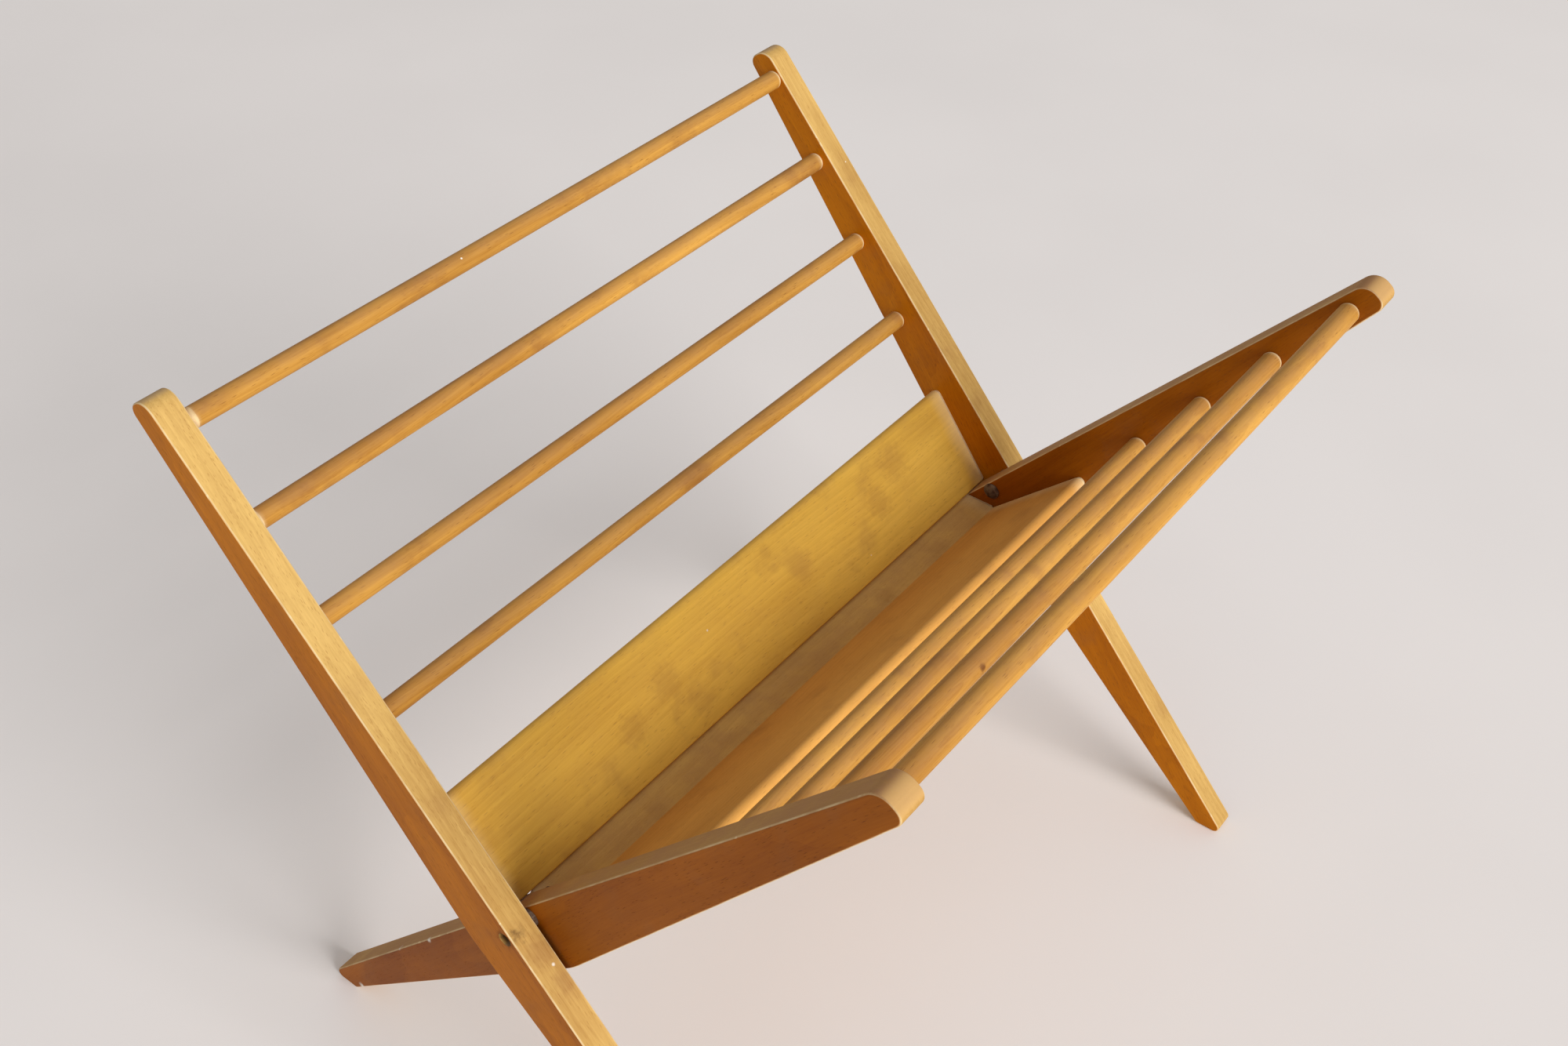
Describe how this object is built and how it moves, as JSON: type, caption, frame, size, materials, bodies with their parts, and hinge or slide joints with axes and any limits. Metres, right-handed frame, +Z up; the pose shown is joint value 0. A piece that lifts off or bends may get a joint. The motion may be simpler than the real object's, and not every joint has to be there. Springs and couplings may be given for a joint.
{
  "type": "folding magazine rack",
  "caption": "Folding beech magazine rack: side rails that cross on riveted pivots, with rows of dowels and low boards on both sides of a narrow floor strip.",
  "frame": {"origin": "on the floor, midway between the feet, under the pivots", "axes": "+X along the dowels, -Y to the front, where the inner frame's top leans, +Z up"},
  "size_m": [0.42, 0.371, 0.3967],
  "materials": {
    "beech_rail": "satin varnish on yellow-brown beech, edges worn lighter",
    "beech_dowel": "satin varnish on yellow-brown beech, bare pale wood at the shoulders",
    "beech_board": "satin varnish on yellow-brown beech, slightly dusty",
    "pivot_metal": "dull, darkened with age"
  },
  "bodies": {
    "outer_frame": {"outer_rail_left": "beech_rail", "outer_rail_right": "beech_rail", "back_dowel_1": "beech_dowel", "back_dowel_2": "beech_dowel", "back_dowel_3": "beech_dowel", "back_dowel_4": "beech_dowel", "back_board": "beech_board", "pivot_rivet_left": "pivot_metal", "rivet_washer_left": "pivot_metal", "spacer_washer_left": "pivot_metal", "pivot_rivet_right": "pivot_metal", "rivet_washer_right": "pivot_metal", "spacer_washer_right": "pivot_metal"},
    "inner_frame": {"inner_rail_left": "beech_rail", "inner_rail_right": "beech_rail", "front_dowel_1": "beech_dowel", "front_dowel_2": "beech_dowel", "front_dowel_3": "beech_dowel", "front_dowel_4": "beech_dowel", "front_board": "beech_board", "floor_strip": "beech_board"}
  },
  "joints": [
    {"name": "fold", "type": "hinge", "parent": "outer_frame", "child": "inner_frame", "pos_m": [0, 0, 0.19013], "axis": [-1, 0, 0], "range_deg": [0, 79.8]}
  ]
}
